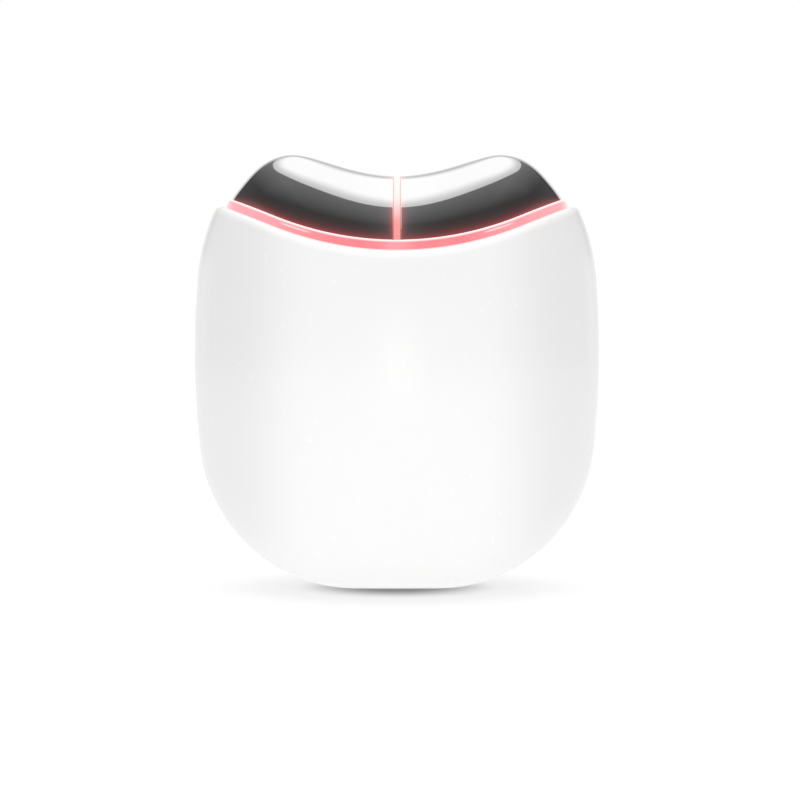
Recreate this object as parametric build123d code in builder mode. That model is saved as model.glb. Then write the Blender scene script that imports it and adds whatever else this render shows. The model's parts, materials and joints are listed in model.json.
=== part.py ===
from build123d import *
import os
from math import asin, atan2, cos, degrees, radians, sin, sqrt, tan

# Hand-held facial toning device, standing upright on the flat of its lower edge.
# +X is to the right seen from the front, -Y is the front, +Z is up. The origin is the middle of the base.
# A pebble-shaped casing in two shells carries a rounded head on its saddle-shaped top edge: a glowing
# light guide with a centre bar, and a polished electrode on each side of the bar. The buttons, the level
# lights and the casing screws are on the back, and the charging socket is in the base.

# ---------------------------------------------------------------- driving dimensions (mm, degrees)
# Casing: the front view is a flat base, then a corner, a side and a shoulder arc on each side
body_width = 77.5
body_depth = 34.0
corner_radius = 30.0
side_radius = 186.0
shoulder_radius = 37.5
corner_turn = 84.3
shoulder_turn = 94.4
outline_turn = 125.0
face_radius = 89.0
profile_radius = 250.0
belly_height = 45.0
edge_radius = 6.5
wall = 2.0

# Saddle line: the top edge of the casing, an arc with a straight run at each end
saddle_height = 64.3
saddle_radius = 62.0
saddle_angle = 22.5
rim_thickness = 2.0
rim_round = 1.2

# Head: the ridge gives its height above the saddle line's low point, as shares of its half length
head_end_land = 4.55
head_side_land = 2.55
head_pole_rise = 2.0
head_fullness = 2.2
ridge_shape = ((0.0, 14.9), (0.278, 16.35), (0.46, 18.2), (0.585, 19.0), (0.735, 17.6), (0.866, 13.5),
               (0.956, 8.9), (0.991, 5.0), (1.0, 2.0))
ridge_stations = 9
last_station = 0.985
ring_reveal = 2.0
ring_proud = 0.35
skirt_step = 0.9
skirt_inset = 2.2
shelf_inset = 3.9
tongue_wall = 1.0
tongue_rise = 2.2
electrode_wall = 1.6
bar_width = 1.55

# Clearances
fit_gap = 0.15
seat_gap = 0.05
running_gap = 0.04
part_gap = 0.5

# Layers under the saddle line
gasket_thickness = 0.9
chassis_thickness = 2.0
ledge_thickness = 1.4
ledge_width = 1.5
flex_thickness = 0.25
flex_inset = 5.0
flex_strip_width = 3.2
flex_tail_width = 4.0
led_size = (2.0, 1.25, 1.0)
led_inset = 3.1
led_xs = (3.6, 10.8, 18.0, 24.6)
end_led_setback = 4.5
bar_led_pitch = 5.0

# Seam between the two shells
seam_gap = 0.1
seam_groove = 0.25
seam_tongue = 1.1
seam_tongue_wall = 0.9

# Main board and what it carries: sizes are across, deep and high
board_thickness = 1.2
board_corner = 2.0
board_tab_width = 14.0
board_boss_wall = 1.6
switch_size = (6.0, 3.4, 6.0)
plunger_radius = 1.5
plunger_rise = 1.1
plunger_length = 2.1
light_led_size = (1.6, 0.8, 1.6)
controller_size = (7.0, 0.9, 7.0)
charger_size = (4.0, 0.8, 4.0)
transformer_size = (11.0, 7.0, 9.0)
transformer_window = 2.4
capacitor_radius = 2.5
capacitor_length = 5.4
socket_size = (6.4, 4.6, 7.0)
socket_wall = 0.75
plug_rise = 1.6
flex_socket_size = (6.5, 1.8, 3.0)

# Fasteners
case_screw_radius = 1.1
case_screw_length = 12.0
case_screw_seat = 6.0
case_screw_inset = 12.0
case_screw_low = 20.0
case_boss_wall = 1.3
board_screw_radius = 0.8
board_screw_length = 5.0
board_screw_inset = 3.0
electrode_screw_radius = 1.0
electrode_screw_length = 7.5
inner_screw_x = 9.5
outer_screw_x = 21.5
electrode_boss_radius = 2.5
head_radius_factor = 1.75
head_height_factor = 1.2
recess_width_factor = 0.35

# Buttons and level lights on the back
power_button_radius = 6.5
level_button_radius = 5.0
power_button_drop = 8.5
lights_drop = 10.5
level_button_drop = 20.0
button_travel = 0.5
button_gap = 0.2
button_flange = 1.0
button_dish = 0.45
button_rim = 0.7
button_stem_radius = 2.0
collar_width = 2.4
collar_depth = 0.5
symbol_depth = 0.2
symbol_stroke = 0.6
symbol_radius = 2.4
light_pitch = 4.5
light_radius = 0.85
light_bar_height = 3.0
light_bar_thickness = 1.4

# Charging socket, sized for a USB-C plug
usb_width = 8.94
usb_height = 3.16
usb_length = 7.35
usb_wall = 0.3
usb_setback = 0.6
usb_tongue_width = 6.6
usb_tongue_height = 0.7
usb_tongue_length = 4.6
usb_block_length = 1.6

# Battery, leads and tape
battery_thickness = 6.0
battery_edge = 1.4
tape_thickness = 0.8
tape_margin = 2.0
lead_radius = 0.6
lead_bend = 2.0
lead_pitch = 2.0
terminal_thickness = 0.5
terminal_radius = 2.3
barrel_length = 2.6
barrel_radius = 0.95

# ---------------------------------------------------------------- derived places
half_width = body_width / 2
half_depth = body_depth / 2
corner_sine = sin(radians(corner_turn))
base_flat = half_width - corner_radius * corner_sine - side_radius * (1 - corner_sine)
far = body_width
above_head = -far / 2

gasket_top = rim_thickness + seat_gap
gasket_bottom = gasket_top + gasket_thickness
chassis_top = gasket_bottom + seat_gap
chassis_bottom = chassis_top + chassis_thickness
ledge_top = chassis_bottom + seat_gap
ledge_bottom = ledge_top + ledge_thickness
flex_bottom = chassis_top - seat_gap
flex_top = flex_bottom - flex_thickness
led_seat = flex_top - seat_gap
shelf_bottom = led_seat - led_size[2] - fit_gap
electrode_foot = -ring_reveal - seat_gap

rim_drop = profile_radius - sqrt(profile_radius**2 - (saddle_height - belly_height) ** 2)
head_half_length = half_width - head_end_land
head_half_depth = half_depth - rim_drop - head_side_land
pad_radius = electrode_boss_radius + part_gap

board_front = usb_height / 2 + seat_gap
board_back = board_front + board_thickness
board_bottom = usb_setback + usb_length + 4 * part_gap
board_top = saddle_height - ledge_bottom - 4 * part_gap
board_foot = wall + 2 * part_gap
switch_face = board_back + switch_size[1]
plunger_top = switch_face + plunger_rise

case_bore_radius = case_screw_radius * head_radius_factor + fit_gap
case_boss_radius = case_bore_radius + case_boss_wall
case_screw_x = half_width - case_screw_inset
board_half_width = case_screw_x - case_boss_radius - 3 * part_gap
board_screw_x = board_half_width - board_screw_inset
board_boss_radius = board_screw_radius + board_boss_wall

power_z = board_top - power_button_drop
lights_z = power_z - lights_drop
level_z = power_z - level_button_drop
light_xs = (-light_pitch, 0, light_pitch)

flex_socket_low = board_top - part_gap - flex_socket_size[2]
tail_y = board_front - flex_socket_size[1] / 2
battery_low = board_bottom + part_gap
battery_high = flex_socket_low - part_gap
battery_half_width = board_half_width - socket_size[0] - 2 * part_gap
battery_back = board_front - tape_thickness
battery_middle = battery_back - battery_thickness / 2
socket_x = (battery_half_width + board_half_width) / 2
socket_low = (battery_low + battery_high) / 2
plug_y = board_front - socket_size[1] / 2
plug_top = socket_low + socket_size[2] + plug_rise


# ---------------------------------------------------------------- forms and sums that pieces share
def turned(centre, radius, angle):
    """The point of an arc at an angle from straight down."""
    return centre[0] + radius * sin(radians(angle)), centre[1] - radius * cos(radians(angle))


def slope_at(x, depth):
    """The saddle line's slope, in degrees, at a distance x from the middle and a depth below the line."""
    return degrees(asin(min(abs(x) / (saddle_radius + depth), sin(radians(saddle_angle)))))


def saddle_height_at(x, depth):
    """Height of the layer at a depth below the saddle line, at a distance x from the middle."""
    bend = turned((0, saddle_height + saddle_radius), saddle_radius + depth, slope_at(x, depth))
    return bend[1] + (abs(x) - bend[0]) * tan(radians(saddle_angle))


def back_face_at(x, z, inset):
    """Depth of the casing's back face, moved inwards by inset, at a place on it."""
    radius = face_radius - inset
    swing = profile_radius - inset - (radius - sqrt(radius**2 - x**2))
    return sqrt(swing**2 - (z - belly_height) ** 2) - (profile_radius - half_depth)


def back_plane(y):
    """A plane that faces backwards, with its x to the left seen from the front and its y upwards."""
    return Plane(origin=(0, y, 0), x_dir=(-1, 0, 0), z_dir=(0, 1, 0))


def outline_face(inset):
    """The front view of the casing, moved inwards by inset, as three tangent arcs a side over a flat base."""
    corner_centre = (base_flat, corner_radius)
    side_centre = turned(corner_centre, corner_radius - side_radius, corner_turn)
    shoulder_centre = turned(side_centre, side_radius - shoulder_radius, shoulder_turn)
    runs = ((corner_centre, corner_radius - inset, 0.0, corner_turn),
            (side_centre, side_radius - inset, corner_turn, shoulder_turn),
            (shoulder_centre, shoulder_radius - inset, shoulder_turn, outline_turn))
    with BuildSketch(Plane.XZ) as face:
        with BuildLine():
            Line((0, inset), (base_flat, inset))
            for centre, radius, start, end in runs:
                ThreePointArc(turned(centre, radius, start), turned(centre, radius, (start + end) / 2),
                              turned(centre, radius, end))
            last = turned(shoulder_centre, shoulder_radius - inset, outline_turn)
            Line(last, (0, last[1]))
            mirror(about=Plane.YZ)
        make_face()
    return face.sketch


def outline_ring(outer_inset, inner_inset, start, end):
    """A rim that follows the casing's outline, between two insets and from one depth to another."""
    outer_face = outline_face(outer_inset)
    inner_face = outline_face(inner_inset)
    with BuildPart() as ring:
        extrude(outer_face, amount=end - start, dir=(0, 1, 0))
        extrude(inner_face, amount=end - start, dir=(0, 1, 0), mode=Mode.SUBTRACT)
    return ring.part.moved(Location((0, start, 0)))


def face_form(inset):
    """Everything behind the casing's front face, which bulges both across and up the casing."""
    swing = 25.0
    axis_y = profile_radius - half_depth
    start = Plane(origin=(0, axis_y, belly_height), x_dir=(1, 0, 0),
                  z_dir=Vector(0, 0, 1).rotate(Axis.X, -swing))
    side = half_width + wall
    radius = face_radius - inset
    lean = asin(side / radius)
    edge = inset - half_depth - axis_y + radius * (1 - cos(lean))
    back = half_depth + wall - axis_y
    with BuildPart() as form:
        with BuildSketch(start):
            with BuildLine():
                Bezier((-side, edge), (0, edge - side * tan(lean)), (side, edge), weights=(1, cos(lean), 1))
                Polyline((side, edge), (side, back), (-side, back), (-side, edge))
            make_face()
        revolve(axis=Axis((0, axis_y, belly_height), (1, 0, 0)), revolution_arc=2 * swing)
    return form.part


def casing_form(inset):
    """The whole pebble, moved inwards by inset, with its two long edges rounded."""
    outline = outline_face(inset)
    front = face_form(inset)
    with BuildPart() as form:
        extrude(outline, amount=half_depth + wall, both=True)
        add(front, mode=Mode.INTERSECT)
        add(front.mirror(Plane.XZ), mode=Mode.INTERSECT)
        top = form.faces().sort_by(Axis.Z)[-1]
        rim = form.edges().filter_by(Axis.Y, reverse=True) - top.edges()
        fillet(rim, edge_radius - inset)
    return form.part


def saddle_layer(top, bottom):
    """The slab between two depths below the saddle line. Depths above the line are negative."""
    with BuildPart() as layer:
        with BuildSketch(Plane.XZ):
            with BuildLine():
                for depth in (top, bottom):
                    bend = (saddle_radius + depth) * sin(radians(saddle_angle))
                    ThreePointArc(*[(x, saddle_height_at(x, depth)) for x in (-bend, 0, bend)])
                    for side in (-1, 1):
                        Line((side * bend, saddle_height_at(bend, depth)),
                             (side * far, saddle_height_at(far, depth)))
                for side in (-far, far):
                    Line((side, saddle_height_at(far, top)), (side, saddle_height_at(far, bottom)))
            make_face()
        extrude(amount=body_depth, both=True)
    return layer.part


with BuildLine(Plane.XZ) as ridge_line:
    Spline([(share * head_half_length, saddle_height + rise) for share, rise in ridge_shape],
           tangents=((1, 0), (0, -1)))
ridge = ridge_line.edge()


def head_fill(x, grow):
    """Half depth of the head, moved outwards by grow, at a distance x from the middle."""
    along = abs(x) / (head_half_length + grow)
    return (head_half_depth + grow) * (1 - along**head_fullness) ** (1 / head_fullness)


def head_form(grow):
    """The rounded head, moved outwards by grow: elliptic sections lofted from one end to the other."""
    crown = max(rise for share, rise in ridge_shape)
    sections = []
    for step in range(ridge_stations):
        point = ridge @ (last_station * (1 - (1 - step / (ridge_stations - 1)) ** 1.3))
        x = point.X * (1 + grow / head_half_length)
        middle = saddle_height + head_pole_rise * (point.X / head_half_length) ** 2
        sections.append((x, middle, head_fill(x, grow), (point.Z - middle) * (1 + grow / crown)))
    mirrored = [(-x, middle, depth, height) for x, middle, depth, height in reversed(sections[1:])]
    with BuildPart() as form:
        for x, middle, depth, height in mirrored + sections:
            with BuildSketch(Plane(origin=(x, 0, middle), x_dir=(0, 1, 0), z_dir=(1, 0, 0))):
                Ellipse(depth, height)
        loft()
    return form.part


def head_shell(outer_grow, inner_grow, top, bottom):
    """The wall between two sizes of the head, cut to the layer between two depths."""
    outer = head_form(outer_grow)
    inner = head_form(inner_grow)
    layer = saddle_layer(top, bottom)
    with BuildPart() as shell:
        add(outer)
        add(inner, mode=Mode.SUBTRACT)
        add(layer, mode=Mode.INTERSECT)
    return shell.part


def bars(places, radius, start, end):
    """Round bars along Y between two depths. Places are x, z."""
    with BuildPart() as group:
        with BuildSketch(back_plane(start)):
            with Locations(*[(-x, z) for x, z in places]):
                Circle(radius)
        extrude(amount=end - start)
    return group.part


def screw_form(radius, length):
    """A pan head screw: its head stands on the plane it is placed on, and its shank is below."""
    head_radius = radius * head_radius_factor
    head_height = radius * head_height_factor
    with BuildPart() as screw:
        Cylinder(radius, length, align=(Align.CENTER, Align.CENTER, Align.MAX))
        Cylinder(head_radius, head_height, align=(Align.CENTER, Align.CENTER, Align.MIN))
        fillet(screw.edges().filter_by(GeomType.CIRCLE).sort_by(Axis.Z)[-1], head_height / 3)
        with BuildSketch(Plane.XY.offset(head_height)):
            Rectangle(head_radius, radius * recess_width_factor)
            Rectangle(radius * recess_width_factor, head_radius)
        extrude(amount=-head_height / 2, mode=Mode.SUBTRACT)
    return screw.part


def block_between(low, high):
    """A block between its lowest and highest corners."""
    with BuildPart() as block:
        with Locations(tuple((a + b) / 2 for a, b in zip(low, high))):
            Box(*[b - a for a, b in zip(low, high)])
    return block.part


def on_board_back(size, x, z):
    """A block of a size, across, deep and high, that stands on the back of the board."""
    return block_between((x - size[0] / 2, board_back, z - size[2] / 2),
                         (x + size[0] / 2, board_back + size[1], z + size[2] / 2))


outer_form = casing_form(0)
cavity_form = casing_form(wall)
insert_form = casing_form(wall + fit_gap)
ledge_form = casing_form(wall + ledge_width)

case_screw_high = saddle_height_at(case_screw_x, ledge_bottom) - case_boss_radius - 6 * part_gap
case_screw_places = [(x, z) for x in (-case_screw_x, case_screw_x) for z in (case_screw_low, case_screw_high)]
board_screw_places = [(x, z) for x in (-board_screw_x, board_screw_x)
                      for z in (board_bottom + board_screw_inset, board_top - board_screw_inset)]

os.makedirs("parts", exist_ok=True)


def write(part, label):
    """Labels a finished piece and writes it to a file of its own."""
    part.label = label
    export_step(part, f"parts/{label}.step")


# ---------------------------------------------------------------- casing
def collar_face(z, radius):
    """Depth of the flat that a button's flange rests on, just clear of the curved wall all round."""
    span = radius + collar_width
    return min(back_face_at(span, z + side * span, wall) for side in (-1, 1)) - collar_depth


power_face = collar_face(power_z, power_button_radius)
level_face = collar_face(level_z, level_button_radius)

# The hollow leaves the rim, the ledge under the head, the screw bosses and the button collars standing.
cavity_layer = saddle_layer(rim_thickness, far)
ledge_layer = saddle_layer(ledge_top, ledge_bottom)
with BuildPart() as ledge:
    add(ledge_layer)
    add(ledge_form, mode=Mode.SUBTRACT)
with BuildPart() as cavity:
    add(cavity_form)
    add(cavity_layer, mode=Mode.INTERSECT)
    add(ledge, mode=Mode.SUBTRACT)
    add(bars(case_screw_places, case_boss_radius, -far, far), mode=Mode.SUBTRACT)
    add(bars(board_screw_places, board_boss_radius, board_back, far), mode=Mode.SUBTRACT)
    add(bars([(0, power_z)], power_button_radius + collar_width, power_face, far), mode=Mode.SUBTRACT)
    add(bars([(0, level_z)], level_button_radius + collar_width, level_face, far), mode=Mode.SUBTRACT)

with BuildPart() as usb_opening:
    with BuildSketch(Plane.XY.offset(-wall)):
        SlotOverall(usb_width + 2 * button_gap, usb_height + 2 * button_gap)
    extrude(amount=3 * wall)

body_layer = saddle_layer(0, far)
head_opening = head_form(fit_gap - skirt_step)
groove_half = (seam_gap + seam_groove) / 2
with BuildPart() as casing:
    add(outer_form)
    add(body_layer, mode=Mode.INTERSECT)
    rim = casing.faces().filter_by(lambda face: face.normal_at().Z > 0.85)
    fillet(rim.edges().filter_by(Axis.Y, reverse=True), rim_round)
    add(cavity, mode=Mode.SUBTRACT)
    add(head_opening, mode=Mode.SUBTRACT)
    add(outline_ring(-wall, seam_groove, -groove_half, groove_half), mode=Mode.SUBTRACT)
    add(usb_opening, mode=Mode.SUBTRACT)

# The front shell has the blind bosses that the casing screws bite in, and the tongue along the seam.
seam_layer = saddle_layer(ledge_bottom + part_gap, far)
with BuildPart() as tongue:
    add(outline_ring(wall - seam_tongue_wall, wall - seat_gap, -part_gap, seam_tongue))
    add(seam_layer, mode=Mode.INTERSECT)
    add(usb_opening, mode=Mode.SUBTRACT)
with BuildPart() as front_casing:
    add(casing)
    split(bisect_by=Plane.XZ.offset(seam_gap / 2), keep=Keep.TOP)
    add(tongue)
    add(bars(case_screw_places, case_screw_radius + running_gap,
             case_screw_seat - case_screw_length - part_gap, 0), mode=Mode.SUBTRACT)
write(front_casing.part, "front_casing")

# The back shell has deep counterbores for the casing screws, and the holes of the buttons and lights.
groove_layer = saddle_layer(ledge_bottom + part_gap / 2, far)
with BuildPart() as seam_slot:
    add(outline_ring(wall - seam_tongue_wall - fit_gap, wall + seat_gap, -part_gap, seam_tongue + fit_gap))
    add(groove_layer, mode=Mode.INTERSECT)
with BuildPart() as rear_casing:
    add(casing)
    split(bisect_by=back_plane(seam_gap / 2), keep=Keep.TOP)
    add(seam_slot, mode=Mode.SUBTRACT)
    add(bars(case_screw_places, case_screw_radius + fit_gap, 0, far), mode=Mode.SUBTRACT)
    add(bars(case_screw_places, case_bore_radius, case_screw_seat, far), mode=Mode.SUBTRACT)
    add(bars(board_screw_places, board_screw_radius + running_gap, 0,
             board_front + board_screw_length + part_gap), mode=Mode.SUBTRACT)
    add(bars([(0, power_z)], power_button_radius + button_gap, board_back, far), mode=Mode.SUBTRACT)
    add(bars([(0, level_z)], level_button_radius + button_gap, board_back, far), mode=Mode.SUBTRACT)
    add(bars([(x, lights_z) for x in light_xs], light_radius + running_gap, board_back, far),
        mode=Mode.SUBTRACT)
write(rear_casing.part, "rear_casing")

# ---------------------------------------------------------------- casing screws and their plugs
case_screw = screw_form(case_screw_radius, case_screw_length)
with BuildPart(back_plane(case_screw_seat)) as casing_screws:
    with Locations(*[(-x, z) for x, z in case_screw_places]):
        add(case_screw)
write(casing_screws.part, "casing_screws")

plug_foot = case_screw_seat + case_screw_radius * head_height_factor + seat_gap
with BuildPart() as screw_plugs:
    add(bars(case_screw_places, case_bore_radius - running_gap, plug_foot, far))
    add(outer_form, mode=Mode.INTERSECT)
write(screw_plugs.part, "screw_plugs")

# ---------------------------------------------------------------- head: light guide and electrodes
bar_box = block_between((-bar_width / 2, -far, 0), (bar_width / 2, far, 2 * far))
bar_layer = saddle_layer(above_head, -seat_gap)
root_layer = saddle_layer(-ring_reveal, shelf_bottom)
head_outer = head_form(0)
skirt_outer = head_form(-skirt_step)
tongue_grow = -electrode_wall - fit_gap
with BuildPart() as light_bar:
    add(head_outer)
    add(bar_layer, mode=Mode.INTERSECT)
    add(bar_box, mode=Mode.INTERSECT)
with BuildPart() as light_bar_root:
    add(skirt_outer)
    add(root_layer, mode=Mode.INTERSECT)
    add(bar_box, mode=Mode.INTERSECT)
with BuildPart() as light_guide:
    add(head_shell(ring_proud, -skirt_inset, -ring_reveal, -seat_gap))
    add(head_shell(-skirt_step, -skirt_inset, -ring_reveal, flex_bottom))
    add(head_shell(-(skirt_step + skirt_inset) / 2, -shelf_inset, -ring_reveal, shelf_bottom))
    add(head_shell(tongue_grow, tongue_grow - tongue_wall, -ring_reveal - tongue_rise, 0))
    add(light_bar)
    add(light_bar_root)
write(light_guide.part, "light_guide")

head_inner = head_form(-electrode_wall)
boss_limit = head_form(-electrode_wall / 2)
electrode_layer = saddle_layer(above_head, electrode_foot)
screw_layer = saddle_layer(above_head, flex_bottom)
electrode_side = block_between((bar_width / 2 + seat_gap, -far, 0), (far, far, 2 * far))
electrode_screw_xs = (inner_screw_x, outer_screw_x)
with BuildPart() as electrode_bosses:
    with BuildSketch():
        with Locations(*[(x, 0) for x in electrode_screw_xs]):
            Circle(electrode_boss_radius)
    extrude(amount=2 * far)
    add(boss_limit, mode=Mode.INTERSECT)
    add(screw_layer, mode=Mode.INTERSECT)


def pad_height(x):
    """Height of the flat under the chassis that an electrode screw seats on."""
    return saddle_height_at(x - pad_radius, chassis_bottom) - part_gap


inner_seat = pad_height(inner_screw_x) - terminal_thickness
outer_seat = pad_height(outer_screw_x)
seats = ((inner_screw_x, inner_seat), (outer_screw_x, outer_seat))
with BuildPart() as electrode_right:
    add(head_outer)
    add(head_inner, mode=Mode.SUBTRACT)
    add(electrode_layer, mode=Mode.INTERSECT)
    add(electrode_side, mode=Mode.INTERSECT)
    add(electrode_bosses)
    for x, seat in seats:
        with BuildSketch(Plane.XY.offset(seat)):
            with Locations((x, 0)):
                Circle(electrode_screw_radius + running_gap)
        extrude(amount=electrode_screw_length + part_gap, mode=Mode.SUBTRACT)
write(electrode_right.part, "electrode_right")
with BuildPart() as electrode_left:
    add(electrode_right)
    mirror(about=Plane.YZ, mode=Mode.REPLACE)
write(electrode_left.part, "electrode_left")

electrode_screw = screw_form(electrode_screw_radius, electrode_screw_length)
with BuildPart() as electrode_screws:
    for x, seat in seats:
        for side in (-1, 1):
            with Locations(Plane(origin=(side * x, 0, seat), z_dir=(0, 0, -1))):
                add(electrode_screw)
write(electrode_screws.part, "electrode_screws")

# ---------------------------------------------------------------- head: chassis, gasket and lighting
chassis_layer = saddle_layer(chassis_top, chassis_bottom)
pad_layer = saddle_layer(chassis_top + chassis_thickness / 2, far)
with BuildPart() as pads:
    for x in electrode_screw_xs:
        with BuildSketch(Plane.XY.offset(pad_height(x))):
            with Locations((-x, 0), (x, 0)):
                Circle(pad_radius)
        extrude(amount=far)
    add(pad_layer, mode=Mode.INTERSECT)
with BuildPart() as head_chassis:
    add(insert_form)
    add(chassis_layer, mode=Mode.INTERSECT)
    add(pads)
    with BuildSketch():
        with Locations(*[(side * x, 0) for x in electrode_screw_xs for side in (-1, 1)]):
            Circle(electrode_screw_radius + fit_gap)
    extrude(amount=2 * far, mode=Mode.SUBTRACT)
    with BuildSketch():
        with Locations((0, tail_y)):
            Rectangle(flex_tail_width + part_gap, flex_thickness + part_gap)
    extrude(amount=2 * far, mode=Mode.SUBTRACT)
write(head_chassis.part, "head_chassis")

gasket_layer = saddle_layer(gasket_top, gasket_bottom)
gasket_opening = head_form(seat_gap - skirt_step)
with BuildPart() as head_gasket:
    add(insert_form)
    add(gasket_layer, mode=Mode.INTERSECT)
    add(gasket_opening, mode=Mode.SUBTRACT)
write(head_gasket.part, "head_gasket")

flex_layer = saddle_layer(flex_top, flex_bottom)
flex_limit = head_form(-skirt_inset - fit_gap)
flex_middle = saddle_height_at(0, (flex_top + flex_bottom) / 2)
tail_foot = flex_socket_low + flex_socket_size[2] / 2
with BuildPart() as flex_strip:
    with BuildSketch():
        Rectangle(flex_strip_width, body_depth)
    extrude(amount=2 * far)
    add(flex_limit, mode=Mode.INTERSECT)
    add(flex_layer, mode=Mode.INTERSECT)
with BuildPart() as led_flex:
    add(head_shell(-skirt_inset - fit_gap, -flex_inset, flex_top, flex_bottom))
    add(flex_strip)
    add(block_between((-flex_tail_width / 2, tail_y - flex_thickness / 2, tail_foot),
                      (flex_tail_width / 2, tail_y + flex_thickness / 2, flex_middle)))
write(led_flex.part, "led_flex")


def led_plane(x, y, angle):
    """The plane that an LED stands on, tangent to the flex, with its x turned by an angle in plan."""
    lean = radians(slope_at(x, led_seat)) * (1 if x > 0 else -1)
    along = Vector(cos(angle), sin(angle), cos(angle) * tan(lean))
    return Plane(origin=(x, y, saddle_height_at(x, led_seat)), x_dir=along, z_dir=(-sin(lean), 0, cos(lean)))


def ring_angle(x):
    """Direction of the head's edge in plan at a distance x from the middle, on its +Y side."""
    step = part_gap
    return atan2(head_fill(x + step, -led_inset) - head_fill(x - step, -led_inset), 2 * step)


led_places = [(0, y, 0) for y in (-bar_led_pitch, 0, bar_led_pitch)]
for side in (-1, 1):
    led_places.append((side * (head_half_length - end_led_setback), 0, radians(90)))
    for x in led_xs:
        y = head_fill(x, -led_inset)
        led_places += [(side * x, y, side * ring_angle(x)), (side * x, -y, -side * ring_angle(x))]
with BuildPart() as ring_leds:
    for place in led_places:
        with Locations(led_plane(*place)):
            Box(*led_size, align=(Align.CENTER, Align.CENTER, Align.MIN))
write(ring_leds.part, "ring_leds")

# ---------------------------------------------------------------- electrode leads
lead_z = inner_seat + terminal_thickness / 2
barrel_y = -pad_radius - part_gap
lead_drop_y = barrel_y - barrel_length - lead_bend - 2 * part_gap
lead_x = inner_screw_x - lead_pitch
lead_foot_z = board_top - 2 * part_gap - lead_radius
with BuildPart() as electrode_lead_right:
    with BuildSketch(Plane.XY.offset(inner_seat)):
        with Locations((inner_screw_x, 0)):
            Circle(terminal_radius)
        with Locations((inner_screw_x, barrel_y / 2 - part_gap)):
            Rectangle(2 * barrel_radius, -barrel_y)
        with Locations((inner_screw_x, 0)):
            Circle(electrode_screw_radius + fit_gap, mode=Mode.SUBTRACT)
    extrude(amount=terminal_thickness)
    with BuildSketch(Plane.XZ.offset(-barrel_y)):
        with Locations((inner_screw_x, lead_z)):
            Circle(barrel_radius)
    extrude(amount=barrel_length)
    with BuildLine() as lead_route:
        FilletPolyline((inner_screw_x, barrel_y - part_gap, lead_z), (inner_screw_x, lead_drop_y, lead_z),
                       (lead_x, lead_drop_y, lead_foot_z), (lead_x, board_front, lead_foot_z),
                       radius=lead_bend)
    with BuildSketch(Plane.XZ.offset(-barrel_y + part_gap)):
        with Locations((inner_screw_x, lead_z)):
            Circle(lead_radius)
    sweep(path=lead_route.wire())
write(electrode_lead_right.part, "electrode_lead_right")
with BuildPart() as electrode_lead_left:
    add(electrode_lead_right)
    mirror(about=Plane.YZ, mode=Mode.REPLACE)
write(electrode_lead_left.part, "electrode_lead_left")

# ---------------------------------------------------------------- main board and what it carries
with BuildPart() as main_board:
    with BuildSketch(back_plane(board_front)):
        with Locations((0, (board_bottom + board_top) / 2)):
            RectangleRounded(2 * board_half_width, board_top - board_bottom, board_corner)
        with Locations((0, (board_foot + board_bottom) / 2 + board_corner)):
            Rectangle(board_tab_width, board_bottom - board_foot + 2 * board_corner)
        with Locations(*board_screw_places):
            Circle(board_screw_radius + fit_gap, mode=Mode.SUBTRACT)
    extrude(amount=board_thickness)
write(main_board.part, "main_board")

board_screw = screw_form(board_screw_radius, board_screw_length)
with BuildPart(Plane.XZ.offset(-board_front)) as board_screws:
    with Locations(*board_screw_places):
        add(board_screw)
write(board_screws.part, "board_screws")


def switch_body(z):
    """A tact switch on the back of the board, with the bore that its plunger slides in."""
    bore_foot = plunger_top - plunger_length - button_travel - fit_gap
    body = on_board_back(switch_size, 0, z)
    with BuildPart() as switch:
        add(body)
        chamfer(switch.faces().sort_by(Axis.Y)[-1].edges(), part_gap / 2)
        add(bars([(0, z)], plunger_radius + running_gap, bore_foot, far), mode=Mode.SUBTRACT)
    return switch.part


def plunger(z):
    """The round plunger of a tact switch, which a button's stem presses."""
    with BuildPart() as pin:
        add(bars([(0, z)], plunger_radius, plunger_top - plunger_length, plunger_top))
    return pin.part


with BuildPart() as power_switch:
    add(switch_body(power_z))
write(power_switch.part, "power_switch")
with BuildPart() as level_switch:
    add(switch_body(level_z))
write(level_switch.part, "level_switch")
with BuildPart() as power_plunger:
    add(plunger(power_z))
write(power_plunger.part, "power_plunger")
with BuildPart() as level_plunger:
    add(plunger(level_z))
write(level_plunger.part, "level_plunger")

controller_x = board_half_width - controller_size[0] / 2 - 2 * part_gap
transformer_x = board_half_width - transformer_size[0] / 2 - 2 * part_gap
capacitor_z = board_bottom + board_screw_inset + board_boss_radius + capacitor_radius + part_gap
with BuildPart() as microcontroller:
    add(on_board_back(controller_size, -controller_x, lights_z))
    chamfer(microcontroller.faces().sort_by(Axis.Y)[-1].edges(), part_gap / 4)
write(microcontroller.part, "microcontroller")
with BuildPart() as charger_chip:
    add(on_board_back(charger_size, transformer_x, level_z - controller_size[2]))
    chamfer(charger_chip.faces().sort_by(Axis.Y)[-1].edges(), part_gap / 4)
write(charger_chip.part, "charger_chip")

window_x = transformer_size[0] / 2 - transformer_window
with BuildPart() as output_transformer:
    add(on_board_back(transformer_size, transformer_x, lights_z))
    for side in (-1, 1):
        x = transformer_x + side * window_x
        add(block_between((x - transformer_window / 2, 0, lights_z - transformer_size[2] / 4),
                          (x + transformer_window / 2, far, lights_z + transformer_size[2] / 4)),
            mode=Mode.SUBTRACT)
write(output_transformer.part, "output_transformer")

with BuildPart() as capacitors:
    for step in (0, 1):
        x = -controller_x + step * (2 * capacitor_radius + 3 * part_gap)
        add(bars([(x, capacitor_z)], capacitor_radius, board_back, board_back + capacitor_length))
    tops = capacitors.faces().filter_by(Axis.Y).group_by(Axis.Y)[-1]
    fillet(tops.edges(), part_gap)
write(capacitors.part, "capacitors")

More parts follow.
